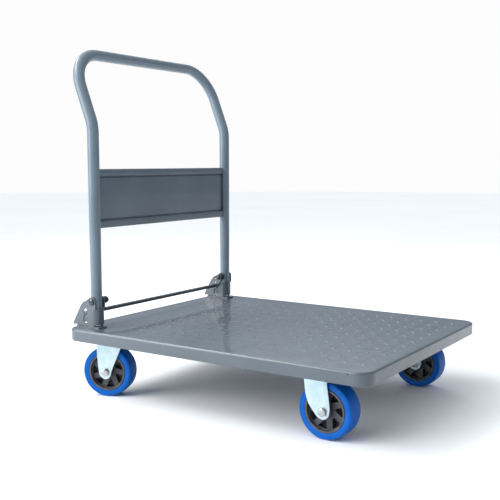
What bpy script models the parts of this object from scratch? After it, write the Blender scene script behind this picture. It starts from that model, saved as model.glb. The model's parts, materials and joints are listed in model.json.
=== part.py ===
"""Folding platform cart: pressed steel deck, fold-down tube handle with a foot-operated
lock rod, two swivel casters under the handle end and two rigid casters at the front.

Metres, +Z up. The floor is z = 0, +X is the front of the cart, the handle stands at -X,
and +Y is the left-hand side of a person who pushes it. The origin is on the floor, under
the middle of the whole cart. Run with: blender --background --python part.py
"""

import math

import bmesh
import bpy
from mathutils import Matrix, Vector

# ---------------------------------------------------------------- driving dimensions
GAP = 0.0003                   # clearance between faces that touch

DECK_LENGTH = 0.820
DECK_WIDTH = 0.640
DECK_TOP = 0.169               # load surface above the floor
DECK_SKIRT = 0.030             # height of the folded edge
DECK_SHEET = 0.0025
DECK_CORNER = 0.034            # plan radius of the corners
DECK_FOLD = 0.005              # outer radius of the fold round the top
DECK_LIP = 0.012               # return lip under the skirt
FIELD_RISE = 0.0008            # the treads' height; their field is one low plateau here
FIELD_INSET = 0.020            # plain border at the sides and the front
FIELD_REAR = 0.090             # plain border behind the field, where the brackets stand
FIELD_CORNER = 0.014

TUBE_RADIUS = 0.014
TUBE_WALL = 0.0015
HANDLE_HALF_WIDTH = 0.273      # cart centre line to upright axis
HANDLE_SETBACK = 0.061         # rear edge of the deck to upright axis
PIVOT_HEIGHT = 0.0665          # handle pivot above the load surface
TUBE_BELOW_PIVOT = 0.0255
BEND_HEIGHT = 0.664            # where the uprights start to lean back
BEND_RADIUS = 0.100
LEAN = math.radians(21.3)
LEAN_LENGTH = 0.1915           # bend to the grip bar's axis
GRIP_RADIUS = 0.092            # bend radius at each end of the grip bar

PANEL_BOTTOM = 0.414
PANEL_TOP = 0.559
PANEL_HEM = 0.0165             # height of the proud bands along both edges
PANEL_PROUD = 0.004
PANEL_RETURN = 0.010
PANEL_SHEET = 0.0015

BRACKET_SHEET = 0.003
BRACKET_BASE = 0.0035
BRACKET_BORE = TUBE_RADIUS + 0.0005      # inner radius of the bracket's round wall
BRACKET_WALL_TOP = 0.050       # round wall's rim above the load surface
BRACKET_WALL_FOOT = 0.013      # underside of the round wall above the load surface
BRACKET_EAR = 0.0115           # radius of the cheeks' round tops

ROD_RADIUS = 0.005
ROD_BEHIND = 0.022             # rod axis behind the pivot
ROD_BELOW = 0.0295             # rod axis below the pivot
ROD_TRAVEL = 0.019
SLEEVE_RADIUS = 0.0063         # spacer round the pivot bolt, inside the tube
SPRING_WIRE = 0.002
SPRING_COIL = 0.008            # mean radius of the coil
SPRING_TURNS = 3.5

WHEEL_RADIUS = 0.0625
TREAD_WIDTH = 0.046
TYRE_SHOULDER = 0.0590         # radius where the flat side turns into the tread
HUB_RADIUS = 0.047
HUB_WEB = 0.0024               # closed middle wall of the hub, behind the windows
RIM_WALL = 0.004               # thickness of the hub's rim under the tyre
WINDOWS = 7
WINDOW_REACH = (0.0225, 0.0410)    # inner and outer radius of a window
WINDOW_SPREAD = (5.0, 16.5)    # half its angle at those radii, in degrees
WINDOW_PHASE = {"front": 0.0, "rear": math.radians(30.0)}    # how far the wheels have rolled
CASTER_TRAIL = 0.022           # axle offset from the caster plate's centre
CASTER_HALF_TRACK = 0.247      # plate centres from the cart centre line
REAR_PLATE_INSET = 0.106       # deck rear edge to the swivel axes
FRONT_PLATE_INSET = 0.144      # deck front edge to the rigid plates' centres
CASTER_PLATE = (0.105, 0.085, 0.003)
CASTER_HEIGHT = 0.160
SWIVEL_YAW = math.radians(20.0)          # how far the swivel casters are turned
FORK_SHEET = 0.003
FORK_GAP = 0.056               # clear width between the fork's legs
CROWN_RADIUS = 0.038
CROWN_TOP = 0.150

# ---------------------------------------------------------------- places
DECK_X = (LEAN_LENGTH * math.sin(LEAN) + TUBE_RADIUS - HANDLE_SETBACK) / 2
REAR_EDGE = DECK_X - DECK_LENGTH / 2
FRONT_EDGE = DECK_X + DECK_LENGTH / 2
PIVOT_X = REAR_EDGE + HANDLE_SETBACK
PIVOT_Z = DECK_TOP + PIVOT_HEIGHT
ROD_X = PIVOT_X - ROD_BEHIND
ROD_Z = PIVOT_Z - ROD_BELOW
BRACKET_OUTER = BRACKET_BORE + BRACKET_SHEET
SKIRT_BOTTOM = DECK_TOP - DECK_SKIRT
DECK_UNDERSIDE = DECK_TOP - DECK_SHEET
SWIVEL_X = REAR_EDGE + REAR_PLATE_INSET
RIGID_X = FRONT_EDGE - FRONT_PLATE_INSET
SIDES = {"left": 1, "right": -1}

# ---------------------------------------------------------------- materials
FINISHES = {
    "grey_paint": ((0.27, 0.31, 0.34), 0.38, 0.3),
    "panel_paint": ((0.15, 0.17, 0.19), 0.42, 0.3),
    "rod_steel": ((0.10, 0.11, 0.12), 0.40, 0.8),
    "zinc_plate": ((0.78, 0.84, 0.86), 0.28, 1.0),
    "fastener_steel": ((0.45, 0.47, 0.48), 0.32, 1.0),
    "blue_tyre": ((0.005, 0.13, 0.62), 0.42, 0.0),
    "black_plastic": ((0.02, 0.02, 0.022), 0.5, 0.0),
    "spring_steel": ((0.08, 0.08, 0.09), 0.35, 1.0),
}


def make_materials():
    """One Principled material per finish."""
    made = {}
    for name, (colour, roughness, metallic) in FINISHES.items():
        material = bpy.data.materials.new(name)
        material.use_nodes = True
        shader = material.node_tree.nodes["Principled BSDF"]
        shader.inputs["Base Color"].default_value = (*colour, 1.0)
        shader.inputs["Roughness"].default_value = roughness
        shader.inputs["Metallic"].default_value = metallic
        material.diffuse_color = (*colour, 1.0)
        made[name] = material
    return made


# ---------------------------------------------------------------- mesh helpers
def skin(rings, closed=False):
    """Solid skinned over rings of equal length; the ends are capped unless closed."""
    solid = bmesh.new()
    loops = [[solid.verts.new(point) for point in ring] for ring in rings]
    pairs = list(zip(loops, loops[1:]))
    if closed:
        pairs.append((loops[-1], loops[0]))
    for low, high in pairs:
        for i in range(len(low)):
            j = (i + 1) % len(low)
            solid.faces.new((low[i], low[j], high[j], high[i]))
    if not closed:
        solid.faces.new(list(reversed(loops[0])))
        solid.faces.new(loops[-1])
    bmesh.ops.recalc_face_normals(solid, faces=solid.faces)
    return solid


def circle(radius, height, sides, start=0.0):
    """Ring of points round the local Z axis."""
    step = 2 * math.pi / sides
    return [
        (radius * math.cos(start + i * step), radius * math.sin(start + i * step), height)
        for i in range(sides)
    ]


def turned(profile, sides):
    """Ring-shaped solid turned from a closed profile of (radius, height) points."""
    return skin([circle(radius, height, sides) for radius, height in profile], closed=True)


def spindle(profile, sides):
    """Solid turned from an open profile of (radius, height), closed by flat ends."""
    return skin([circle(radius, height, sides) for radius, height in profile])


def prism(outline, low, high):
    """Plan outline extruded from low to high along local Z."""
    return skin([[(x, y, z) for x, y in outline] for z in (low, high)])


def hexagon(across_flats, height, sides=12):
    """Hexagon sampled at the given number of points, so it can meet a circle."""
    points = []
    for i in range(sides):
        angle = 2 * math.pi * i / sides
        from_flat = (angle + math.pi / 6) % (math.pi / 3) - math.pi / 6
        radius = across_flats / 2 / math.cos(from_flat)
        points.append((radius * math.cos(angle), radius * math.sin(angle), height))
    return points


def hex_bolt(shank, across_flats, head, length, flange=0.0):
    """Bolt with its head above local z = 0 and its shank below."""
    sides = 12
    rings = [circle(shank, -length, sides), circle(shank, 0.0, sides)]
    foot = 0.0
    if flange:
        foot = 0.0015
        rings += [circle(flange, 0.0, sides), circle(flange, foot, sides)]
    rings += [hexagon(across_flats, foot, sides), hexagon(across_flats, head * 0.85, sides)]
    rings.append(circle(across_flats * 0.44, head, sides))
    return skin(rings)


def hex_nut(bore, across_flats, height):
    """Lock nut standing on local z = 0, with a collar on its far side."""
    sides = 12
    rings = [
        circle(bore, 0.0, sides),
        hexagon(across_flats, 0.0, sides),
        hexagon(across_flats, height * 0.7, sides),
        circle(across_flats * 0.42, height * 0.8, sides),
        circle(across_flats * 0.40, height, sides),
        circle(bore, height, sides),
    ]
    return skin(rings, closed=True)


def tube_between(inner, outer, length, sides=16):
    """Plain sleeve centred on the origin along local Z."""
    half = length / 2
    return turned([(inner, -half), (outer, -half), (outer, half), (inner, half)], sides)


def arc(centre, radius, start, stop, steps):
    """Points on a circle arc in a plane, angles in degrees, both ends included."""
    points = []
    for i in range(steps + 1):
        angle = math.radians(start + (stop - start) * i / steps)
        points.append((centre[0] + radius * math.cos(angle), centre[1] + radius * math.sin(angle)))
    return points


def rounded_rectangle(length, width, radius, steps=6):
    """Plan outline with round corners, anticlockwise."""
    points = []
    for sx, sy, start in ((1, 1, 0), (-1, 1, 90), (-1, -1, 180), (1, -1, 270)):
        centre = (sx * (length / 2 - radius), sy * (width / 2 - radius))
        points += arc(centre, radius, start, start + 90, steps)
    return points


def filleted(corners, radii, step=math.radians(11)):
    """Polyline whose inner corners are replaced by arcs of the given radii."""
    path = [Vector(corners[0])]
    for before, corner, after, radius in zip(corners, corners[1:], corners[2:], radii):
        corner = Vector(corner)
        incoming = (corner - Vector(before)).normalized()
        outgoing = (Vector(after) - corner).normalized()
        turn = incoming.angle(outgoing)
        start = corner - incoming * radius * math.tan(turn / 2)
        inward = (outgoing - incoming * incoming.dot(outgoing)).normalized()
        count = max(2, math.ceil(turn / step))
        for i in range(count + 1):
            angle = turn * i / count
            across = inward * radius * (1 - math.cos(angle))
            path.append(start + incoming * radius * math.sin(angle) + across)
    path.append(Vector(corners[-1]))
    return path


def sweep_rings(path, radius, sides, first_side):
    """Circles carried along a path without twist."""
    rings = []
    side = Vector(first_side)
    for i, point in enumerate(path):
        ahead = (path[min(i + 1, len(path) - 1)] - point).normalized()
        behind = (point - path[max(i - 1, 0)]).normalized()
        along = (ahead + behind).normalized()
        side = (side - along * side.dot(along)).normalized()
        other = along.cross(side)
        ring = []
        for k in range(sides):
            angle = 2 * math.pi * k / sides
            ring.append(point + side * radius * math.cos(angle) + other * radius * math.sin(angle))
        rings.append(ring)
    return rings


# ---------------------------------------------------------------- object helpers
MATERIALS = {}
ALONG_Y = Matrix.Rotation(math.radians(-90), 4, "X")       # local +Z to world +Y
ALONG_MINUS_Y = Matrix.Rotation(math.radians(90), 4, "X")  # local +Z to world -Y


def add(name, solid, finish, place=Matrix.Identity(4), smooth=True):
    """Turn a bmesh into a named object at the given place."""
    mesh = bpy.data.meshes.new(name)
    solid.to_mesh(mesh)
    solid.free()
    if smooth:
        mesh.shade_smooth()
        mesh.set_sharp_from_angle(angle=math.radians(35))
    mesh.materials.append(MATERIALS[finish])
    return add_copy(name, mesh, place)


def add_copy(name, mesh, place):
    """Object that uses an existing mesh."""
    piece = bpy.data.objects.new(name, mesh)
    piece.matrix_world = place
    bpy.context.scene.collection.objects.link(piece)
    return piece


def combine(piece, solid, operation, place=None):
    """Boolean a helper solid with a piece; the helper stays hidden as a guide."""
    mesh = bpy.data.meshes.new(piece.name + "_guide")
    solid.to_mesh(mesh)
    solid.free()
    guide = add_copy(piece.name + "_guide", mesh, piece.matrix_world if place is None else place)
    guide.hide_render = True
    guide.display_type = "WIRE"
    modifier = piece.modifiers.new(operation.lower(), "BOOLEAN")
    modifier.operation = operation
    modifier.solver = "EXACT"
    modifier.object = guide
    return guide


def at(x, y, z, turn=Matrix.Identity(4)):
    """Placement matrix: turned first, then moved."""
    return Matrix.Translation((x, y, z)) @ turn


# ---------------------------------------------------------------- deck
def deck_ring(inset, height):
    """Outline of the deck drawn in from its edge."""
    radius = max(DECK_CORNER - inset, 0.004)
    outline = rounded_rectangle(DECK_LENGTH - 2 * inset, DECK_WIDTH - 2 * inset, radius)
    return [(x, y, height) for x, y in outline]


def field_ring(grow, height):
    """Outline of the tread field, widened by grow."""
    length = DECK_LENGTH - FIELD_REAR - FIELD_INSET + 2 * grow
    width = DECK_WIDTH - 2 * FIELD_INSET + 2 * grow
    middle = (FIELD_REAR - FIELD_INSET) / 2
    return [(x + middle, y, height) for x, y in rounded_rectangle(length, width, FIELD_CORNER + grow)]


def make_deck():
    """Pressed tray: raised tread field, folded skirt and a return lip round the bottom."""
    sheet = DECK_SHEET
    inner_fold = DECK_FOLD - sheet
    rings = [field_ring(0.0, DECK_TOP + FIELD_RISE), field_ring(FIELD_RISE, DECK_TOP)]
    for i in range(4):
        angle = math.radians(90 - 30 * i)
        rings.append(deck_ring(DECK_FOLD * (1 - math.cos(angle)),
                               DECK_TOP - DECK_FOLD * (1 - math.sin(angle))))
    rings.append(deck_ring(0.0, SKIRT_BOTTOM + 0.001))
    rings.append(deck_ring(0.001, SKIRT_BOTTOM))
    rings.append(deck_ring(DECK_LIP, SKIRT_BOTTOM))
    rings.append(deck_ring(DECK_LIP, SKIRT_BOTTOM + sheet))
    rings.append(deck_ring(sheet, SKIRT_BOTTOM + sheet))
    for i in range(3):
        angle = math.radians(45 * i)
        rings.append(deck_ring(DECK_FOLD - inner_fold * math.cos(angle),
                               DECK_TOP - DECK_FOLD + inner_fold * math.sin(angle)))
    deck = add("deck_platform", skin(rings), "grey_paint", at(DECK_X, 0, 0))
    for side in SIDES.values():
        for x in BRACKET_BOLTS:
            hole = spindle([(0.0043, DECK_UNDERSIDE - 0.01), (0.0043, DECK_TOP + 0.01)], 10)
            place = at(PIVOT_X + x, side * HANDLE_HALF_WIDTH, 0)
            combine(deck, hole, "DIFFERENCE", place)


def make_underframe():
    """Channels welded under the deck: one over each pair of casters, two lengthwise."""
    top = DECK_UNDERSIDE - GAP
    bottom = CASTER_HEIGHT + GAP
    half = CASTER_PLATE[0] / 2 + 0.004
    sheet = 0.003
    channel = [(-half, bottom), (half, bottom), (half, top), (half - sheet, top),
               (half - sheet, bottom + sheet), (-half + sheet, bottom + sheet),
               (-half + sheet, top), (-half, top)]
    reach = DECK_WIDTH / 2 - DECK_FOLD - GAP
    across = skin([[(x, y, z) for x, z in channel] for y in (-reach, reach)])
    rear = add("crossmember_rear", across, "grey_paint", at(SWIVEL_X, 0, 0))
    add_copy("crossmember_front", rear.data, at(RIGID_X, 0, 0))

    depth = 0.020
    web, flange, thick = 0.022, 0.036, 0.002
    hat = [(-flange, top - thick), (-web - thick, top - thick), (-web, top - depth),
           (web, top - depth), (web + thick, top - thick), (flange, top - thick),
           (flange, top), (web, top), (web - thick, top - depth + thick),
           (-web + thick, top - depth + thick), (-web, top), (-flange, top)]
    start = SWIVEL_X + half + GAP
    stop = RIGID_X - half - GAP
    along = skin([[(x, y, z) for y, z in hat] for x in (start, stop)])
    left = add("stiffener_left", along, "grey_paint", at(0, 0.125, 0))
    add_copy("stiffener_right", left.data, at(0, -0.125, 0))


# ---------------------------------------------------------------- handle brackets
BRACKET_BOLTS = (-0.022, 0.003)          # bolt axes from the pivot, along X


def bracket_side_outline():
    """Side view of a bracket's U from the pivot, up to the wall's rim in front: x forward, z up."""
    foot = -PIVOT_HEIGHT + BRACKET_BASE
    rim = BRACKET_WALL_TOP - PIVOT_HEIGHT
    outline = [(-0.0625, foot), (-0.0635, foot + 0.007), (-0.037, -0.0105), (-0.029, -0.002)]
    outline += arc((0, 0), BRACKET_EAR, 115, 95, 2)
    outline += [(-0.001, rim), (0.022, rim), (0.022, foot)]
    return outline


def bracket_ear(side):
    """Flat round top of one cheek, wide enough for the upright to swing between the two."""
    low = BRACKET_WALL_TOP - PIVOT_HEIGHT - 0.004
    outline = arc((0, 0), BRACKET_EAR, 115, 0, 8) + [(BRACKET_EAR, low), (-0.008, low)]
    return skin([[(x, side * y, z) for x, z in outline] for y in (BRACKET_BORE, BRACKET_OUTER)])


def bracket_channel():
    """Upright U channel, open to the rear, with its round wall on the deck side."""
    back = -0.070
    outline = [(back, -BRACKET_OUTER)] + arc((0, 0), BRACKET_OUTER, -90, 90, 10)
    outline += [(back, BRACKET_OUTER), (back, BRACKET_BORE)]
    outline += arc((0, 0), BRACKET_BORE, 90, -90, 10) + [(back, -BRACKET_BORE)]
    return prism(outline, -PIVOT_HEIGHT + BRACKET_BASE, 0.020)


def upright_slot():
    """Slot that guides the lock rod, through both cheeks."""
    width = ROD_RADIUS + 0.0005
    high = (-ROD_BEHIND, -ROD_BELOW + 0.0060)
    low = (-ROD_BEHIND, -ROD_BELOW - ROD_TRAVEL - 0.001)
    outline = arc(high, width, 0, 180, 6) + arc(low, width, 180, 360, 6)
    return skin([[(x, y, z) for x, z in outline] for y in (-0.03, 0.03)])


def make_bracket(name, side):
    """Stamped bracket: two cheeks, a round wall, a base plate and the rod's slots."""
    place = at(PIVOT_X, side * HANDLE_HALF_WIDTH, PIVOT_Z)
    bracket = add(name, bracket_channel(), "grey_paint", place)
    cheek = skin([[(x, y, z) for x, z in bracket_side_outline()] for y in (-0.03, 0.03)])
    combine(bracket, cheek, "INTERSECT")
    for ear_side in (-1, 1):
        combine(bracket, bracket_ear(ear_side), "UNION")

    foot = -PIVOT_HEIGHT
    base_outline = rounded_rectangle(0.064, 2 * BRACKET_OUTER - 0.004, 0.003, 2)
    base = prism([(x - 0.024, y) for x, y in base_outline], foot + GAP, foot + BRACKET_BASE + GAP)
    combine(bracket, base, "UNION")
    combine(bracket, upright_slot(), "DIFFERENCE")

    wall_gap = [(0.0105, foot + BRACKET_BASE - 0.001), (0.03, foot + BRACKET_BASE - 0.001),
                (0.03, foot + BRACKET_WALL_FOOT), (0.0105, foot + BRACKET_WALL_FOOT)]
    combine(bracket, skin([[(x, y, z) for x, z in wall_gap] for y in (-0.03, 0.03)]), "DIFFERENCE")
    notch = arc((-ROD_BEHIND, foot + BRACKET_BASE + GAP), 0.0032, 0, 180, 6)
    combine(bracket, skin([[(x, y, z) for x, z in notch] for y in (-0.03, 0.03)]), "DIFFERENCE")
    bore = spindle([(0.0053, -0.03), (0.0053, 0.03)], 16)
    combine(bracket, bore, "DIFFERENCE", place @ ALONG_Y)
    for x in BRACKET_BOLTS:
        hole = spindle([(0.0043, foot - 0.01), (0.0043, foot + 0.01)], 10)
        combine(bracket, hole, "DIFFERENCE", place @ Matrix.Translation((x, 0, 0)))


def make_bracket_hardware(label, side):
    """Pivot bolt with its sleeve and nut, and the bracket's two mounting bolts."""
    y = side * HANDLE_HALF_WIDTH
    outward = ALONG_Y if side > 0 else ALONG_MINUS_Y
    inward = ALONG_MINUS_Y if side > 0 else ALONG_Y
    face = BRACKET_OUTER + GAP
    nut_foot = face + SPRING_WIRE * (SPRING_TURNS + 1) + 0.0012
    nut_height = 0.0085
    bolt = hex_bolt(0.005, 0.016, 0.0065, face + nut_foot + nut_height + 0.002, flange=0.0095)
    add("pivot_bolt_" + label, bolt, "fastener_steel", at(PIVOT_X, y + side * face, PIVOT_Z, outward))
    nut = hex_nut(0.0053, 0.016, nut_height)
    add("pivot_nut_" + label, nut, "fastener_steel", at(PIVOT_X, y - side * nut_foot, PIVOT_Z, inward))
    sleeve = tube_between(0.0053, SLEEVE_RADIUS, 2 * (TUBE_RADIUS - 0.0011))
    add("pivot_sleeve_" + label, sleeve, "fastener_steel", at(PIVOT_X, y, PIVOT_Z, ALONG_Y))
    for x, end in zip(BRACKET_BOLTS, ("rear", "front")):
        bolt = hex_bolt(0.004, 0.013, 0.0053, BRACKET_BASE + DECK_SHEET + 0.003)
        place = at(PIVOT_X + x, y, DECK_TOP + BRACKET_BASE + 2 * GAP)
        add("bracket_bolt_" + label + "_" + end, bolt, "zinc_plate", place)


# ---------------------------------------------------------------- handle
def handle_path():
    """Centre line of the one-piece handle tube, from the right foot to the left foot."""
    bottom = PIVOT_Z - TUBE_BELOW_PIVOT
    bar_x = PIVOT_X - LEAN_LENGTH * math.sin(LEAN)
    bar_z = BEND_HEIGHT + LEAN_LENGTH * math.cos(LEAN)
    half = HANDLE_HALF_WIDTH
    corners = [(PIVOT_X, -half, bottom), (PIVOT_X, -half, BEND_HEIGHT), (bar_x, -half, bar_z),
               (bar_x, half, bar_z), (PIVOT_X, half, BEND_HEIGHT), (PIVOT_X, half, bottom)]
    return filleted(corners, [BEND_RADIUS, GRIP_RADIUS, GRIP_RADIUS, BEND_RADIUS])


def make_handle():
    """Bent tube with cross holes for the pivot sleeves, its plugs and the panel."""
    pivot = at(PIVOT_X, 0, PIVOT_Z)
    to_pivot = pivot.inverted()
    path = [to_pivot @ point for point in handle_path()]
    outer = sweep_rings(path, TUBE_RADIUS, 16, (1, 0, 0))
    inner = sweep_rings(path, TUBE_RADIUS - TUBE_WALL, 16, (1, 0, 0))
    tube = add("handle_tube", skin(outer + inner[::-1], closed=True), "grey_paint", pivot)
    for label, side in SIDES.items():
        bore = SLEEVE_RADIUS + GAP
        hole = spindle([(bore, -0.02), (bore, 0.02)], 16)
        combine(tube, hole, "DIFFERENCE", at(PIVOT_X, side * HANDLE_HALF_WIDTH, PIVOT_Z, ALONG_Y))
        fit = TUBE_RADIUS - TUBE_WALL - GAP
        plug = spindle([(fit, -TUBE_BELOW_PIVOT + GAP), (fit, -TUBE_BELOW_PIVOT + 0.008)], 16)
        plug_place = at(PIVOT_X, side * HANDLE_HALF_WIDTH, PIVOT_Z)
        add("tube_plug_" + label, plug, "black_plastic", plug_place)

    half = HANDLE_HALF_WIDTH - TUBE_RADIUS - GAP
    low, high = PANEL_BOTTOM - PIVOT_Z, PANEL_TOP - PIVOT_Z
    sheet, hem = PANEL_SHEET, PANEL_HEM
    front, web, back = PANEL_PROUD, 0.0, -PANEL_RETURN
    section = [(back, high), (front, high), (front, high - hem), (web, high - hem - sheet),
               (web, low + hem + sheet), (front, low + hem), (front, low), (back, low),
               (back, low + sheet), (front - sheet, low + sheet),
               (front - sheet, low + hem - sheet / 2), (web - sheet, low + hem + sheet / 2),
               (web - sheet, high - hem - sheet / 2), (front - sheet, high - hem + sheet / 2),
               (front - sheet, high - sheet), (back, high - sheet)]
    panel = skin([[(x, y, z) for x, z in section] for y in (-half, half)])
    add("handle_panel", panel, "panel_paint", pivot, smooth=False)


# ---------------------------------------------------------------- lock rod and springs
def make_lock():
    """Foot-operated rod behind the uprights, and the torsion springs that lift it."""
    half = HANDLE_HALF_WIDTH + BRACKET_OUTER
    rod = spindle([(ROD_RADIUS - 0.001, -half), (ROD_RADIUS, -half + 0.001),
                   (ROD_RADIUS, half - 0.001), (ROD_RADIUS - 0.001, half)], 12)
    add("lock_rod", rod, "rod_steel", at(ROD_X, 0, ROD_Z, ALONG_Y))
    for label, side in SIDES.items():
        place = at(PIVOT_X, side * (HANDLE_HALF_WIDTH - BRACKET_OUTER), PIVOT_Z)
        spring = skin(sweep_rings(spring_path(side), SPRING_WIRE / 2, 6, (0, 1, 0)))
        add("lock_spring_" + label, spring, "spring_steel", place)


def spring_path(side):
    """Torsion spring wire from the pivot: long leg under the rod, coil, short rear leg.

    The long leg leaves the coil on its lower front side and passes just under the rod.
    """
    rod = Vector((-ROD_BEHIND, -ROD_BELOW))
    clearance = ROD_RADIUS + SPRING_WIRE / 2 + 0.0012
    rod_angle = math.atan2(rod.y, rod.x)
    leg_angle = rod_angle - math.asin((SPRING_COIL - clearance) / rod.length)
    along = Vector((math.cos(leg_angle), math.sin(leg_angle)))
    below = Vector((-along.y, along.x))
    first = -side * (SPRING_WIRE / 2 + GAP)
    reach = 0.058
    path = []
    for share in (1.0, 0.5):
        point = below * SPRING_COIL + along * reach * share
        path.append(Vector((point.x, first, point.y)))
    start = math.atan2(below.y, below.x)
    steps = round(SPRING_TURNS * 12)
    for i in range(steps + 1):
        angle = start + 2 * math.pi * SPRING_TURNS * i / steps
        y = first - side * SPRING_WIRE * 1.02 * SPRING_TURNS * i / steps
        path.append(Vector((SPRING_COIL * math.cos(angle), y, SPRING_COIL * math.sin(angle))))
    leaving = (path[-1] - path[-2]).normalized()
    path.append(path[-1] + leaving * 0.014)
    return path


# ---------------------------------------------------------------- casters
# Side views of the fork legs from the axle: x forward, z up. Their tops end inside the
# plate or crown, so that the union of the two is one body.
RIGID_LEG_TOP = CASTER_HEIGHT - WHEEL_RADIUS - 0.001
SWIVEL_LEG_TOP = CROWN_TOP - WHEEL_RADIUS - 0.001
RIGID_LEG = ((-0.048, RIGID_LEG_TOP), (-0.044, 0.056), (-0.041, 0.032), (-0.034, 0.013),
             (-0.014, -0.014), (-0.007, -0.018), (0.004, -0.018), (0.014, -0.010),
             (0.0155, 0.008), (0.012, 0.032), (0.004, RIGID_LEG_TOP))
SWIVEL_LEG = ((-0.016, SWIVEL_LEG_TOP), (-0.023, 0.062), (-0.023, 0.040), (-0.0185, 0.0),
              (-0.0155, -0.009), (-0.006, -0.0170), (0.005, -0.0170), (0.0125, -0.009),
              (0.0180, 0.008), (0.040, 0.060), (0.044, SWIVEL_LEG_TOP))


def fork_leg(outline, side):
    """One leg of a fork, standing beside the wheel; the axle is at the origin."""
    inner = side * FORK_GAP / 2
    outer = side * (FORK_GAP / 2 + FORK_SHEET)
    return skin([[(x, y, z) for x, z in outline] for y in (inner, outer)])


def make_fork(name, outline, plate, place):
    """Fork with its plate or crown on top and an axle hole through both legs."""
    fork = add(name, plate, "zinc_plate", place)
    for side in (-1, 1):
        combine(fork, fork_leg(outline, side), "UNION")
    hole = spindle([(0.0053, -0.04), (0.0053, 0.04)], 12)
    combine(fork, hole, "DIFFERENCE", place @ ALONG_Y)
    return fork


def make_axle(label, place):
    """Axle bolt, lock nut and the sleeve that the wheel's bearing turns on."""
    outside = FORK_GAP / 2 + FORK_SHEET + GAP
    nut_height = 0.009
    bolt = hex_bolt(0.005, 0.017, 0.0065, 2 * outside + nut_height + 0.002)
    add("axle_bolt_" + label, bolt, "fastener_steel", place @ at(0, -outside, 0, ALONG_MINUS_Y))
    nut = hex_nut(0.0053, 0.017, nut_height)
    add("axle_nut_" + label, nut, "fastener_steel", place @ at(0, outside, 0, ALONG_Y))
    sleeve = tube_between(0.0053, 0.0075, FORK_GAP - 2 * GAP, 12)
    add("axle_sleeve_" + label, sleeve, "fastener_steel", place @ ALONG_Y)


def tyre_solid():
    """Blue tread band with flat sides, rounded shoulders and a slight crown."""
    half = TREAD_WIDTH / 2
    bore = HUB_RADIUS + GAP
    shoulder = 0.0035
    profile = [(bore, -half), (TYRE_SHOULDER, -half), (WHEEL_RADIUS - 0.0015, -half + shoulder),
               (WHEEL_RADIUS, -half * 0.35), (WHEEL_RADIUS, half * 0.35),
               (WHEEL_RADIUS - 0.0015, half - shoulder), (TYRE_SHOULDER, half), (bore, half)]
    return turned(profile, 32)


def hub_solid():
    """Plastic centre: rim, web and boss, before its windows are cut."""
    rim = TREAD_WIDTH / 2 - 0.001
    web, boss = 0.012, FORK_GAP / 2 - 0.0015
    wall = HUB_RADIUS - RIM_WALL
    upper = [(wall, rim), (wall - 0.001, web), (0.0185, web), (0.0175, boss), (0.0115, boss)]
    lower = [(radius, -height) for radius, height in upper[::-1]]
    profile = lower + [(HUB_RADIUS, -rim), (HUB_RADIUS, rim)] + upper
    return turned(profile, 28)


def window_solid(index, face):
    """Wedge that sinks one window between two spokes from one side, down to the middle web."""
    middle = 360.0 * index / WINDOWS
    inner, outer = WINDOW_REACH
    narrow, wide = WINDOW_SPREAD
    outline = arc((0, 0), outer, middle - wide, middle + wide, 3)
    outline += arc((0, 0), inner, middle + narrow, middle - narrow, 1)
    ends = sorted((face * HUB_WEB / 2, face * FORK_GAP / 2))
    return prism(outline, *ends)


def make_wheel(end, side_label, place):
    """Tyre, hub with its windows, and the bearing pressed into the hub."""
    label = end + "_" + side_label
    axis = place @ ALONG_Y @ Matrix.Rotation(WINDOW_PHASE[end], 4, "Z")
    add("tyre_" + label, tyre_solid(), "blue_tyre", axis)
    hub = add("hub_" + label, hub_solid(), "black_plastic", axis)
    for index in range(WINDOWS):
        for face in (-1, 1):
            combine(hub, window_solid(index, face), "DIFFERENCE")
    bearing = tube_between(0.0078, 0.0112, 2 * (FORK_GAP / 2 - 0.0020), 12)
    add("wheel_bearing_" + label, bearing, "fastener_steel", axis)


def caster_plate_solid(centre, low):
    """Flat mounting plate with round corners."""
    length, width, thick = CASTER_PLATE
    outline = rounded_rectangle(length, width, 0.008, 3)
    return prism([(x + centre, y) for x, y in outline], low, low + thick)


def make_rigid_caster(label, side):
    """Front caster: plate and fork in one, the axle ahead of the plate's centre."""
    place = at(RIGID_X + CASTER_TRAIL, side * CASTER_HALF_TRACK, WHEEL_RADIUS)
    plate_low = CASTER_HEIGHT - CASTER_PLATE[2] - WHEEL_RADIUS
    plate = caster_plate_solid(-CASTER_TRAIL, plate_low)
    make_fork("rigid_fork_" + label, RIGID_LEG, plate, place)
    make_axle("front_" + label, place)
    make_wheel("front", label, place)


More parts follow.
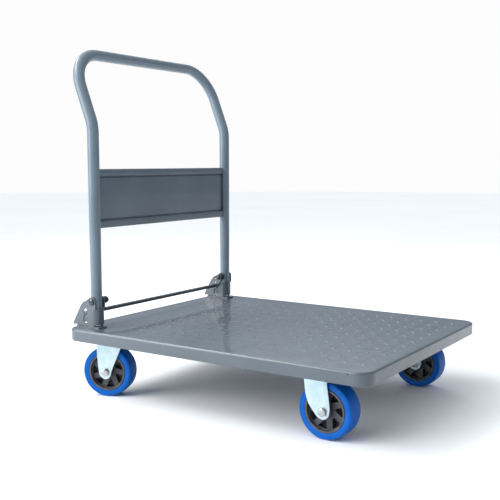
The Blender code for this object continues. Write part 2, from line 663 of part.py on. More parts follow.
def make_swivel_caster(label, side):
    """Rear caster: plate, ball race, kingpin and a fork that trails its pivot."""
    x, y = SWIVEL_X, side * CASTER_HALF_TRACK
    plate_low = CASTER_HEIGHT - CASTER_PLATE[2]
    plate = add("swivel_top_plate_" + label, caster_plate_solid(0, plate_low), "zinc_plate", at(x, y, 0))
    combine(plate, spindle([(0.0063, 0.14), (0.0063, 0.17)], 12), "DIFFERENCE")

    yaw = Matrix.Rotation(SWIVEL_YAW, 4, "Z")
    pivot = at(x, y, 0, yaw)
    crown_low = CROWN_TOP - FORK_SHEET
    crown_profile = [(0.0063, crown_low), (CROWN_RADIUS, crown_low), (CROWN_RADIUS, CROWN_TOP),
                     (0.0063, CROWN_TOP)]
    crown = turned(crown_profile, 24)
    axle = pivot @ Matrix.Translation((-CASTER_TRAIL, 0, WHEEL_RADIUS))
    to_axle = Matrix.Translation((CASTER_TRAIL, 0, -WHEEL_RADIUS))
    bmesh.ops.transform(crown, matrix=to_axle, verts=crown.verts)
    make_fork("swivel_fork_" + label, SWIVEL_LEG, crown, axle)

    race = turned([(0.0240, CROWN_TOP + GAP), (0.0350, CROWN_TOP + GAP), (0.0365, CROWN_TOP + 0.0035),
                   (0.0345, plate_low - GAP), (0.0240, plate_low - GAP)], 24)
    add("ball_race_" + label, race, "zinc_plate", pivot)
    kingpin = spindle([(0.0090, crown_low - 0.0060), (0.0100, crown_low - 0.0045),
                       (0.0100, crown_low - GAP), (0.0060, crown_low - GAP),
                       (0.0060, CASTER_HEIGHT - GAP)], 12)
    add("kingpin_" + label, kingpin, "zinc_plate", pivot)
    make_axle("rear_" + label, axle)
    make_wheel("rear", label, axle)


# ---------------------------------------------------------------- assembly
def main():
    for leftover in list(bpy.data.objects):
        bpy.data.objects.remove(leftover, do_unlink=True)
    MATERIALS.update(make_materials())
    make_deck()
    make_underframe()
    for label, side in SIDES.items():
        make_bracket("handle_bracket_" + label, side)
        make_bracket_hardware(label, side)
        make_swivel_caster(label, side)
        make_rigid_caster(label, side)
    make_handle()
    make_lock()
    bpy.context.view_layer.update()


main()
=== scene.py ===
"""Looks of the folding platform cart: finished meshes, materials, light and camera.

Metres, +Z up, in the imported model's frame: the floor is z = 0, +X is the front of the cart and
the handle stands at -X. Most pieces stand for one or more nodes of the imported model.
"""

import json
import math

import bmesh
import bpy
from mathutils import Matrix, Vector


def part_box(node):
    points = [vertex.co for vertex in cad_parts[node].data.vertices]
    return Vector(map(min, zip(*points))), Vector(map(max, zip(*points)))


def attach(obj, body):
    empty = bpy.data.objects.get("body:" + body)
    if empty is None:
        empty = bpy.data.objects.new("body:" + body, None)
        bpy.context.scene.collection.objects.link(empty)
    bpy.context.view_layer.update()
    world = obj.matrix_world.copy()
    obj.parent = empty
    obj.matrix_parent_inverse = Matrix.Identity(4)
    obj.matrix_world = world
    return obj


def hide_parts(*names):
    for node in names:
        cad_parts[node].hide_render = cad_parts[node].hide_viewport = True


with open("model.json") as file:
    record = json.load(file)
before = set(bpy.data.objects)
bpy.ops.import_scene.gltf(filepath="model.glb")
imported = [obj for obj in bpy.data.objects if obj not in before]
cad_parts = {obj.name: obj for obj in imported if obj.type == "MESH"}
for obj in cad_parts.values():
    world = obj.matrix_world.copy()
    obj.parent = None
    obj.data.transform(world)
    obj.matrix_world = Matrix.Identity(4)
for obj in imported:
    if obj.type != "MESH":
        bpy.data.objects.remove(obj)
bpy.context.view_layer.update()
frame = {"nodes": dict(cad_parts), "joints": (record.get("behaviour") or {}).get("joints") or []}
JOINTS = {joint["name"]: joint for joint in frame["joints"]}
SIDES = {"left": 1, "right": -1}

# ---------------------------------------------------------------- sizes
FIELD_RISE = 0.0008            # how far the treads stand above the sheet
deck_low, deck_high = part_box("deck_platform")
DECK_X = (deck_low.x + deck_high.x) / 2
DECK_LENGTH = deck_high.x - deck_low.x
DECK_WIDTH = deck_high.y - deck_low.y
DECK_TOP = deck_high.z - FIELD_RISE
DECK_BOTTOM = deck_low.z
DECK_SHEET = 0.0025
DECK_CORNER = 0.034
DECK_FOLD = 0.005
DECK_LIP = 0.012
TREAD_PITCH = (0.0417, 0.0510)  # one pair of crossed lozenges in each cell
TREAD_SIZE = (0.0245, 0.0085)
FIELD_REAR = 0.090
FIELD_INSET = 0.020

PIVOT = Vector(JOINTS["handle_fold"]["pos_m"])
TUBE_RADIUS = 0.014
TUBE_WALL = 0.0015
HANDLE_HALF_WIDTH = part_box("handle_tube")[1].y - TUBE_RADIUS
HANDLE_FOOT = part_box("handle_tube")[0].z
BEND_HEIGHT = 0.664
LEAN = math.radians(21.3)
LEAN_LENGTH = 0.1915
BEND_RADIUS = 0.100
GRIP_RADIUS = 0.092

panel_low, panel_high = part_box("handle_panel")
PANEL_HEM = 0.0165
PANEL_PROUD = panel_high.x - PIVOT.x
PANEL_RETURN = PIVOT.x - panel_low.x
PANEL_SHEET = 0.0015

rod_low, rod_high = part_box("lock_rod")
ROD = (rod_low + rod_high) / 2
ROD_RADIUS = (rod_high.z - rod_low.z) / 2
BRACKET_SHEET = 0.003
BRACKET_BASE = 0.0035
BRACKET_BORE = TUBE_RADIUS + 0.0005
BRACKET_OUTER = BRACKET_BORE + BRACKET_SHEET
BRACKET_EAR = 0.0115
BRACKET_FOOT = DECK_TOP - PIVOT.z
BRACKET_RIM = BRACKET_FOOT + 0.050
BRACKET_BOLTS = (-0.022, 0.003)
BRACKET_BACK = -0.075          # where the U wall is cut off, before its outline is trimmed
BRACKET_FRONT = 0.022
BRACKET_TOP = 0.020
BRACKET_HEM = 0.0031           # lower edge of the wall, above the bracket's foot
LOBE = (0.0074, 0.0100)        # half width and half height of the slot's wide lower end
BOLT_BORE = 0.0053             # hole for a pivot bolt or an axle bolt
SLEEVE_BORE = 0.0066           # hole in the tube for the pivot's spacer sleeve
DRAIN_RADIUS = 0.0017
THROUGH = 0.03                 # half length of the cutters that pass through a bracket
SPRING_WIRE = 0.002
SPRING_COIL = 0.008
SPRING_TURNS = 3.5

WHEEL_RADIUS = (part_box("tyre_front_left")[1].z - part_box("tyre_front_left")[0].z) / 2
TREAD_HALF = (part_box("tyre_front_left")[1].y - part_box("tyre_front_left")[0].y) / 2
HUB_RADIUS = 0.047
HUB_WEB_HALF = 0.0012          # half of the closed wall behind the windows
WINDOWS = 7
WINDOW_REACH = (0.0215, 0.0408)
WINDOW_PHASE = {"front": 0.0, "rear": math.radians(30.0)}
FORK_GAP = 0.056
FORK_SHEET = 0.003
CROWN_TOP = 0.150
CASTER_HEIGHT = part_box("swivel_top_plate_left")[1].z
PLATE = (0.105, 0.085, 0.003)
PLATE_BOLTS = (0.0400, 0.0300)
PLATE_CORNERS = [(sx * PLATE_BOLTS[0], sy * PLATE_BOLTS[1]) for sx in (-1, 1) for sy in (-1, 1)]
KINGPIN_BORE = 0.0063
TRAIL = 0.022
SWIVEL_YAW = math.radians(20.0)
GAP = 0.0003                   # clearance between neighbouring pieces

STAGE_RADIUS = 14.0
CAMERA_PLACE = (1.0933, -1.7434, 0.5767)
CAMERA_PITCH = 6.52            # degrees below the horizon
CAMERA_HEADING = 33.08         # degrees from +Y towards -X
CAMERA_LENS = 59.55            # millimetres, on a 36 mm sensor
CAMERA_SHIFT = (-0.0150, 0.0124)

ALONG_Y = Matrix.Rotation(math.radians(-90), 4, "X")       # local +Z to world +Y
ALONG_MINUS_Y = Matrix.Rotation(math.radians(90), 4, "X")  # local +Z to world -Y
FACING_DOWN = Matrix.Rotation(math.pi, 4, "X")


def at(x, y, z, turn=Matrix.Identity(4)):
    """Placement matrix: turned first, then moved."""
    return Matrix.Translation((x, y, z)) @ turn


# ---------------------------------------------------------------- materials
class Graph:
    """Small helper that wires up one material's nodes."""

    def __init__(self, name):
        self.material = bpy.data.materials.new(name)
        self.material.use_nodes = True
        self.tree = self.material.node_tree
        self.shader = self.tree.nodes["Principled BSDF"]
        self.place = self.tree.nodes.new("ShaderNodeTexCoord").outputs["Object"]

    def link(self, source, target):
        """Join an output socket to an input socket."""
        self.tree.links.new(source, target)

    def fill(self, node, values):
        """Constants or sockets on a node's inputs, by name with _ for spaces."""
        for name, value in values.items():
            socket = node.inputs[name.replace("_", " ")]
            if isinstance(value, bpy.types.NodeSocket):
                self.link(value, socket)
            elif socket.type == "RGBA":
                socket.default_value = (*value, 1.0)
            else:
                socket.default_value = value

    def node(self, kind, **values):
        """New shader node with its inputs filled."""
        node = self.tree.nodes.new("ShaderNode" + kind)
        self.fill(node, values)
        return node

    def noise(self, scale, detail=3.0, stretch=None, distortion=0.0):
        """Noise over the object's own coordinates; scale in cells per metre."""
        source = self.place
        if stretch:
            source = self.node("Mapping", Scale=stretch, Vector=source).outputs["Vector"]
        return self.node("TexNoise", Scale=scale, Detail=detail, Distortion=distortion,
                         Vector=source).outputs["Fac"]

    def ramp(self, source, stops):
        """Colour ramp with (position, colour) stops."""
        node = self.node("ValToRGB", Fac=source)
        elements = node.color_ramp.elements
        while len(elements) < len(stops):
            elements.new(0.5)
        for element, (position, colour) in zip(elements, stops):
            element.position = position
            element.color = (*colour, 1.0)
        return node.outputs["Color"]

    def span(self, source, low, high, start=0.3, stop=0.7):
        """Map a noise value to the range low to high."""
        node = self.node("MapRange", From_Min=start, From_Max=stop, To_Min=low, To_Max=high,
                         Value=source)
        return node.outputs["Result"]

    def mix(self, factor, source, colour):
        """Blend from a colour socket towards a constant colour."""
        node = self.node("Mix")
        node.data_type = "RGBA"
        self.link(factor, node.inputs["Factor"])
        first, second = [s for s in node.inputs if s.type == "RGBA"]
        self.link(source, first)
        second.default_value = (*colour, 1.0)
        return [s for s in node.outputs if s.type == "RGBA"][0]

    def bump(self, source, distance, strength=1.0, onto=None):
        """Bump of the given height in metres, stacked on an earlier one."""
        node = self.node("Bump", Distance=distance, Strength=strength, Height=source)
        if onto is not None:
            self.link(onto, node.inputs["Normal"])
        return node.outputs["Normal"]

    def set(self, **values):
        """Fill the shader's own inputs and give back the material."""
        self.fill(self.shader, values)
        return self.material


def shade(colour, factor):
    """Colour made lighter or darker by a factor."""
    return tuple(c * factor for c in colour)


def powder_coat(name, colour, rough, peel=0.00006, coat=0.3, specular=0.35):
    """Semi-gloss powder coat: orange peel, faint mottling, dust and small scuffs."""
    g = Graph(name)
    mottle = g.ramp(g.noise(9.0, 4.0), [(0.35, shade(colour, 0.93)), (0.65, shade(colour, 1.06))])
    scuffs = g.span(g.noise(55.0, 6.0, (1.0, 4.0, 1.0), 0.6), 0.0, 0.5, 0.66, 0.74)
    base = g.mix(scuffs, mottle, shade(colour, 1.35))
    roughness = g.span(g.noise(30.0, 4.0), rough - 0.05, rough + 0.08)
    peel_bump = g.bump(g.noise(420.0, 1.5), peel)
    normal = g.bump(g.noise(14.0, 2.0), 0.0004, 0.35, peel_bump)
    return g.set(Base_Color=base, Roughness=roughness, Normal=normal, Specular_IOR_Level=specular,
                 Coat_Weight=coat, Coat_Roughness=0.09)


def zinc(name, light, dark, rough):
    """Bright passivated zinc plate: blue tint in patches and fine rolling marks."""
    g = Graph(name)
    patches = g.ramp(g.noise(22.0, 3.0), [(0.3, dark), (0.55, light), (0.8, shade(light, 0.94))])
    streaks = g.noise(160.0, 3.0, (1.0, 1.0, 0.08))
    roughness = g.span(streaks, rough - 0.05, rough + 0.12)
    normal = g.bump(streaks, 0.00003, 0.6)
    return g.set(Base_Color=patches, Metallic=1.0, Roughness=roughness, Normal=normal)


def elastomer(name, colour):
    """Blue polyurethane: satin skin with faint cloudiness and dust in the tread."""
    g = Graph(name)
    cloud = g.ramp(g.noise(35.0, 3.0), [(0.3, shade(colour, 0.86)), (0.7, shade(colour, 1.12))])
    dust = g.span(g.noise(240.0, 5.0), 0.0, 0.30, 0.60, 0.74)
    base = g.mix(dust, cloud, shade(colour, 0.6))
    roughness = g.span(g.noise(70.0, 4.0), 0.36, 0.50)
    return g.set(Base_Color=base, Roughness=roughness, Normal=g.bump(g.noise(800.0, 2.0), 0.00004),
                 Specular_IOR_Level=0.16)


def moulded(name, colour, rough):
    """Moulded plastic: fine spark texture and a few rubbed, paler spots."""
    g = Graph(name)
    rubbed = g.ramp(g.noise(60.0, 5.0), [(0.42, colour), (0.75, shade(colour, 1.9))])
    roughness = g.span(g.noise(120.0, 3.0), rough - 0.06, rough + 0.08)
    return g.set(Base_Color=rubbed, Roughness=roughness, Normal=g.bump(g.noise(1500.0, 2.0), 0.00005))


def steel(name, colour, rough, metal=1.0):
    """Machined or drawn steel: lengthwise scratches and patchy oil."""
    g = Graph(name)
    tone = g.ramp(g.noise(80.0, 4.0), [(0.3, shade(colour, 0.78)), (0.7, shade(colour, 1.15))])
    scratch = g.noise(900.0, 2.0, (1.0, 0.06, 1.0))
    roughness = g.span(g.noise(45.0, 3.0), rough - 0.06, rough + 0.10)
    return g.set(Base_Color=tone, Metallic=metal, Roughness=roughness, Normal=g.bump(scratch, 0.00002))


def make_materials():
    """All finishes by name; the painted ones share one grey, darkened or lightened per piece as painted
    shade and painted light.
    """
    grey = (0.104, 0.136, 0.164)
    return {
        # painted light and shade: the same grey paint, darkened for the deck and the parts that share its
        # finish and lightened for the handle tube, stands in for how the light falls on each
        "grey_paint": powder_coat("grey_paint", shade(grey, 0.74), 0.36, 0.00005, 0.80, 0.26),
        "lit_tube_paint": powder_coat("lit_tube_paint", shade(grey, 1.45), 0.30, 0.00004, 0.30, 0.22),
        "panel_paint": powder_coat("panel_paint", grey, 0.38),
        "rod_steel": steel("rod_steel", (0.095, 0.105, 0.118), 0.36, 0.6),
        "zinc_plate": zinc("zinc_plate", (0.53, 0.65, 0.69), (0.40, 0.53, 0.59), 0.30),
        "fastener_steel": zinc("fastener_steel", (0.50, 0.52, 0.52), (0.34, 0.36, 0.37), 0.28),
        "dark_steel": steel("dark_steel", (0.085, 0.095, 0.108), 0.30, 0.85),
        "blue_tyre": elastomer("blue_tyre", (0.0004, 0.098, 0.42)),
        "black_plastic": moulded("black_plastic", (0.034, 0.038, 0.046), 0.46),
        "rim_plastic": moulded("rim_plastic", (0.056, 0.051, 0.051), 0.30),
        "spring_steel": steel("spring_steel", (0.06, 0.06, 0.065), 0.32),
        "weld": powder_coat("weld", shade(grey, 1.05), 0.42, 0.0003),
    }


MATERIALS = make_materials()


# ---------------------------------------------------------------- mesh helpers
def stitch(solid, rings, closed=False):
    """Add a skin over rings of equal length; its ends are capped unless closed."""
    loops = [[solid.verts.new(point) for point in ring] for ring in rings]
    pairs = list(zip(loops, loops[1:]))
    if closed:
        pairs.append((loops[-1], loops[0]))
    for low, high in pairs:
        for i in range(len(low)):
            j = (i + 1) % len(low)
            solid.faces.new((low[i], low[j], high[j], high[i]))
    if not closed:
        solid.faces.new(list(reversed(loops[0])))
        solid.faces.new(loops[-1])


def skin(rings, closed=False):
    """Solid skinned over rings, facing outwards."""
    solid = bmesh.new()
    stitch(solid, rings, closed)
    bmesh.ops.recalc_face_normals(solid, faces=solid.faces)
    return solid


def circle(radius, height, sides):
    """Ring of points round the Z axis."""
    step = 2 * math.pi / sides
    return [(radius * math.cos(i * step), radius * math.sin(i * step), height) for i in range(sides)]


def turned(profile, sides=64):
    """Ring-shaped solid turned from a closed profile of (radius, height) points."""
    return skin([circle(radius, height, sides) for radius, height in profile], closed=True)


def spindle(profile, sides=32):
    """Solid turned from an open profile of (radius, height), closed by flat ends."""
    return skin([circle(radius, height, sides) for radius, height in profile])


def drill(radius, reach, sides=24):
    """Cutter for a round hole along local Z, reaching both ways from its place."""
    return spindle([(radius, -reach), (radius, reach)], sides)


def prism(outline, low, high):
    """Plan outline extruded from low to high along local Z."""
    return skin([[(x, y, z) for x, y in outline] for z in (low, high)])


def side_prism(outline, low, high):
    """Side-view outline of (x, z) extruded from low to high along Y."""
    return skin([[(x, y, z) for x, z in outline] for y in (low, high)])


def arc(centre, radius, start, stop, steps):
    """Points on a circle arc, angles in degrees, both ends included."""
    points = []
    for i in range(steps + 1):
        angle = math.radians(start + (stop - start) * i / steps)
        points.append((centre[0] + radius * math.cos(angle), centre[1] + radius * math.sin(angle)))
    return points


def rounded_rectangle(length, width, radius, steps):
    """Plan outline with round corners, centred on the origin."""
    points = []
    for sx, sy, start in ((1, 1, 0), (-1, 1, 90), (-1, -1, 180), (1, -1, 270)):
        centre = (sx * (length / 2 - radius), sy * (width / 2 - radius))
        points += arc(centre, radius, start, start + 90, steps)
    return points


def softened(outline, radius, steps=5):
    """Closed outline whose corners are rounded by short curves."""
    points = []
    count = len(outline)
    for i in range(count):
        before, corner, after = (Vector(outline[(i + k) % count]) for k in (-1, 0, 1))
        back = before - corner
        ahead = after - corner
        start = corner + back.normalized() * min(radius, back.length * 0.45)
        stop = corner + ahead.normalized() * min(radius, ahead.length * 0.45)
        for k in range(steps + 1):
            t = k / steps
            points.append(tuple(start * (1 - t) ** 2 + corner * 2 * t * (1 - t) + stop * t ** 2))
    return points


def filleted(corners, radii, step=math.radians(3)):
    """Polyline whose inner corners are replaced by arcs of the given radii."""
    path = [Vector(corners[0])]
    for before, corner, after, radius in zip(corners, corners[1:], corners[2:], radii):
        corner = Vector(corner)
        incoming = (corner - Vector(before)).normalized()
        outgoing = (Vector(after) - corner).normalized()
        turn = incoming.angle(outgoing)
        start = corner - incoming * radius * math.tan(turn / 2)
        inward = (outgoing - incoming * incoming.dot(outgoing)).normalized()
        count = max(2, math.ceil(turn / step))
        for i in range(count + 1):
            angle = turn * i / count
            across = inward * radius * (1 - math.cos(angle))
            path.append(start + incoming * radius * math.sin(angle) + across)
    path.append(Vector(corners[-1]))
    return path


def sweep_rings(path, radius, sides, first_side):
    """Circles carried along a path without twist."""
    rings = []
    side = Vector(first_side)
    for i, point in enumerate(path):
        ahead = (path[min(i + 1, len(path) - 1)] - point).normalized()
        behind = (point - path[max(i - 1, 0)]).normalized()
        along = (ahead + behind).normalized()
        side = (side - along * side.dot(along)).normalized()
        other = along.cross(side)
        ring = []
        for k in range(sides):
            angle = 2 * math.pi * k / sides
            ring.append(point + side * radius * math.cos(angle) + other * radius * math.sin(angle))
        rings.append(ring)
    return rings


def hexagon(flats, height, sides):
    """Hexagon of a width across flats, sampled so that it can meet a circle."""
    points = []
    for i in range(sides):
        angle = 2 * math.pi * i / sides
        from_flat = (angle + math.pi / 6) % (math.pi / 3) - math.pi / 6
        radius = flats / 2 / math.cos(from_flat)
        points.append((radius * math.cos(angle), radius * math.sin(angle), height))
    return points


def threads(radius, start, stop, pitch=0.00125):
    """Profile points of a thread from start to stop along the shank."""
    points = []
    turns = max(1, int(abs(stop - start) / pitch))
    step = (stop - start) / turns
    for i in range(turns):
        points += [(radius, start + i * step), (radius - 0.0005, start + (i + 0.5) * step)]
    return points


def hex_bolt(shank, flats, head, length, washer=0.0, thread=0.012):
    """Bolt with a washer-faced hex head above local z = 0 and a threaded shank below."""
    sides = 24
    rings = [circle(shank - 0.0008, -length, sides)]
    rings += [circle(r, z, sides) for r, z in threads(shank, -length + 0.0006, -length + thread)]
    rings.append(circle(shank, -length + thread, sides))
    rings.append(circle(shank, 0.0, sides))
    foot = 0.0
    if washer:
        foot = 0.0016
        rings += [circle(washer - 0.0002, 0.0, sides), circle(washer, 0.0002, sides),
                  circle(washer, foot - 0.0003, sides), circle(washer - 0.0003, foot, sides)]
    rings += [circle(flats * 0.47, foot, sides), hexagon(flats, foot + 0.0004, sides),
              hexagon(flats, head - 0.0011, sides), hexagon(flats * 0.97, head - 0.0006, sides),
              circle(flats * 0.47, head - 0.0002, sides), circle(flats * 0.44, head, sides)]
    return skin(rings)


def dome_bolt(shank, radius, head, length):
    """Bolt with a low domed head above local z = 0 and a shallow round recess in it."""
    edge = 0.0012
    profile = [(shank - 0.0008, -length)] + threads(shank, -length + 0.0006, -length + 0.012)
    profile += [(shank, -length + 0.012), (shank, 0.0), (radius - 0.0003, 0.0), (radius, 0.0004),
                (radius, edge)]
    for angle in map(math.radians, (15, 30, 45, 60, 72)):
        profile.append((radius * math.cos(angle), edge + (head - edge) * math.sin(angle)))
    profile += [(radius * 0.26, head - 0.0002), (radius * 0.22, head - 0.0010)]
    return spindle(profile)


def lock_nut(bore, flats, height, washer=0.0):
    """Nut with a nylon collar, standing on local z = 0 on its washer."""
    sides = 24
    rings = [circle(bore, 0.0, sides)]
    foot = 0.0
    if washer:
        foot = 0.0014
        rings += [circle(washer, 0.0, sides), circle(washer, foot, sides)]
    rings += [circle(flats * 0.47, foot, sides), hexagon(flats, foot + 0.0005, sides),
              hexagon(flats, height * 0.66, sides), circle(flats * 0.47, height * 0.72, sides),
              circle(flats * 0.43, height * 0.78, sides),
              circle(flats * 0.42, height * 0.95, sides),
              circle(flats * 0.38, height, sides), circle(bore, height, sides)]
    return skin(rings, closed=True)


def merge(*solids):
    """Several bmeshes in one."""
    whole = bmesh.new()
    for solid in solids:
        mesh = bpy.data.meshes.new("part")
        solid.to_mesh(mesh)
        solid.free()
        whole.from_mesh(mesh)
        bpy.data.meshes.remove(mesh)
    return whole


def moved(solid, matrix):
    """The bmesh itself, transformed."""
    bmesh.ops.transform(solid, matrix=matrix, verts=solid.verts)
    return solid


# ---------------------------------------------------------------- object helpers
def raw(name, solid, place=Matrix.Identity(4)):
    """Plain object from a bmesh."""
    mesh = bpy.data.meshes.new(name)
    solid.to_mesh(mesh)
    solid.free()
    obj = bpy.data.objects.new(name, mesh)
    obj.matrix_world = place
    bpy.context.scene.collection.objects.link(obj)
    return obj


def settle(obj):
    """Apply all modifiers and drop the helper solids they used."""
    helpers = [m.object for m in obj.modifiers if m.type == "BOOLEAN"]
    bpy.context.view_layer.update()
    graph = bpy.context.evaluated_depsgraph_get()
    mesh = bpy.data.meshes.new_from_object(obj.evaluated_get(graph))
    obj.modifiers.clear()
    obj.data = mesh
    for helper in helpers:
        bpy.data.objects.remove(helper)
    return obj


def combine(obj, solid, operation, place=None):
    """Queue a boolean; settle() applies it."""
    helper = raw("helper", solid, obj.matrix_world.copy() if place is None else place)
    modifier = obj.modifiers.new(operation.lower(), "BOOLEAN")
    modifier.operation = operation
    modifier.solver = "EXACT"
    modifier.object = helper


def dress(obj, finish, body, *nodes, bevel=0.0, crisp=38.0):
    """Bevel, shade and paint a piece, and tie it to its body and its nodes."""
    if bevel:
        modifier = obj.modifiers.new("bevel", "BEVEL")
        modifier.width = bevel
        modifier.segments = 2
        modifier.limit_method = "ANGLE"
        modifier.angle_limit = math.radians(crisp)
        settle(obj)
    obj.data.shade_smooth()
    obj.data.set_sharp_from_angle(angle=math.radians(crisp))
    if bevel:
        weighted = obj.modifiers.new("weighted", "WEIGHTED_NORMAL")
        weighted.keep_sharp = True
        settle(obj)
    obj.data.materials.clear()
    obj.data.materials.append(MATERIALS[finish])
    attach(obj, body)
    if nodes:
        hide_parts(*nodes)


def piece(name, solid, place, finish, body, *nodes, **looks):
    """Finished piece straight from a bmesh."""
    dress(raw(name, solid, place), finish, body, *nodes, **looks)


def repaint(node, finish):
    """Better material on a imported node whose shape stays."""
    for material_slot in frame["nodes"][node].material_slots:
        material_slot.material = MATERIALS[finish]


# ---------------------------------------------------------------- deck
def deck_ring(inset, height):
    """Plan outline of the deck, drawn in by inset, at a height."""
    radius = max(DECK_CORNER - inset, 0.004)
    outline = rounded_rectangle(DECK_LENGTH - 2 * inset, DECK_WIDTH - 2 * inset, radius, 12)
    return [(x, y, height) for x, y in outline]


def make_deck():
    """Pressed tray with a smooth fold, a return lip, bolt holes and a drain hole in each side."""
    sheet = DECK_SHEET
    inner = DECK_FOLD - sheet
    steps = 8
    rings = []
    for i in range(steps + 1):
        angle = math.radians(90 * (1 - i / steps))
        rings.append(deck_ring(DECK_FOLD * (1 - math.cos(angle)),
                               DECK_TOP - DECK_FOLD * (1 - math.sin(angle))))
    rings += [deck_ring(0.0, DECK_BOTTOM + 0.0025), deck_ring(0.0008, DECK_BOTTOM + 0.0008),
              deck_ring(0.0025, DECK_BOTTOM), deck_ring(DECK_LIP, DECK_BOTTOM),
              deck_ring(DECK_LIP, DECK_BOTTOM + sheet), deck_ring(sheet, DECK_BOTTOM + sheet)]
    for i in range(5):
        angle = math.radians(90 * i / 5)
        rings.append(deck_ring(DECK_FOLD - inner * math.cos(angle),
                               DECK_TOP - DECK_FOLD + inner * math.sin(angle)))
    deck = raw("deck_tray", skin(rings), at(DECK_X, 0, 0))
    for side in SIDES.values():
        for x in BRACKET_BOLTS:
            hole = spindle([(0.0045, DECK_TOP - 0.01), (0.0045, DECK_TOP + 0.01)], 20)
            combine(deck, hole, "DIFFERENCE", at(PIVOT.x + x, side * HANDLE_HALF_WIDTH, 0))
        place = at(DECK_X + 0.366, side * DECK_WIDTH / 2, DECK_TOP - 0.0065, ALONG_Y)
        combine(deck, drill(DRAIN_RADIUS, 0.006, 16), "DIFFERENCE", place)
    dress(settle(deck), "grey_paint", "deck", "deck_platform", crisp=25)


def lozenge(x, y, turn, solid):
    """One lens-shaped tread: pointed ends, crowned top, sunk a little into the sheet."""
    length, width = TREAD_SIZE
    count = 16
    layers = ((1.0, -0.0003), (1.0, 0.0), (0.82, 0.62), (0.55, 0.93), (0.22, 1.0))
    rings = []
    for share, rise in layers:
        height = DECK_TOP + (rise * FIELD_RISE if rise > 0 else rise)
        ring = []
        for i in range(count):
            angle = 2 * math.pi * i / count
            u = math.cos(angle)
            along = length / 2 * u * (0.30 + 0.70 * share)
            across = width / 2 * math.copysign(abs(math.sin(angle)) ** 1.35, math.sin(angle)) * share
            px = x + along * math.cos(turn) - across * math.sin(turn)
            py = y + along * math.sin(turn) + across * math.cos(turn)
            ring.append((px, py, height))
        rings.append(ring)
    stitch(solid, rings)


def make_treads():
    """Crossed lozenges over the whole load surface, inside a plain border."""
    rear = DECK_X - DECK_LENGTH / 2 + FIELD_REAR
    front = DECK_X + DECK_LENGTH / 2 - FIELD_INSET
    half = DECK_WIDTH / 2 - FIELD_INSET
    reach = TREAD_SIZE[0] / 2 * math.sqrt(0.5)
    columns = int((front - rear - 2 * reach) / TREAD_PITCH[0])
    rows = int((half - reach) / TREAD_PITCH[1])
    first = (front + rear) / 2 - columns / 2 * TREAD_PITCH[0]
    solid = bmesh.new()
    for row in range(-2 * rows, 2 * rows + 1):
        for column in range(2 * columns + 1):
            if (row + column) % 2:
                continue
            x = first + column * TREAD_PITCH[0] / 2
            y = row * TREAD_PITCH[1] / 2
            lozenge(x, y, math.radians(45 if column % 2 else -45), solid)
    dress(raw("deck_treads", solid), "grey_paint", "deck", crisp=70)


def make_underframe():
    """Welds where the channels meet the deck's skirt, and the painted channels themselves."""
    for node in ("crossmember_front", "crossmember_rear", "stiffener_left", "stiffener_right"):
        repaint(node, "grey_paint")
    beads = bmesh.new()
    under = DECK_TOP - DECK_SHEET
    for node in ("crossmember_front", "crossmember_rear"):
        low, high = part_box(node)
        for side in SIDES.values():
            for x in (low.x, high.x):
                for k in range(2):
                    start = side * (0.12 + 0.12 * k)
                    weld_bead(beads, (x, start, under), (x, start + side * 0.03, under), 0.0026)
    dress(raw("underframe_welds", beads), "weld", "deck", crisp=80)


def weld_bead(solid, start, stop, radius):
    """Row of overlapping round ripples from start to stop, in one closed skin."""
    start, stop = Vector(start), Vector(stop)
    along = (stop - start).normalized()
    side = along.cross(Vector((0.0, 0.0, 1.0)))
    if side.length < 0.1:
        side = along.cross(Vector((1.0, 0.0, 0.0)))
    side.normalize()
    other = along.cross(side)
    ripples = max(3, int((stop - start).length / (radius * 0.9)))
    count, sides = ripples * 4, 8
    rings = []
    for i in range(count + 1):
        t = i / count
        swell = radius * (0.80 + 0.20 * abs(math.sin(math.pi * t * ripples)))
        swell *= min(1.0, 0.35 + 6.0 * min(t, 1 - t))
        point = start.lerp(stop, t)
        ring = []
        for k in range(sides):
            angle = 2 * math.pi * k / sides
            ring.append(point + side * swell * math.cos(angle) + other * swell * math.sin(angle))
        rings.append(ring)
    stitch(solid, rings)


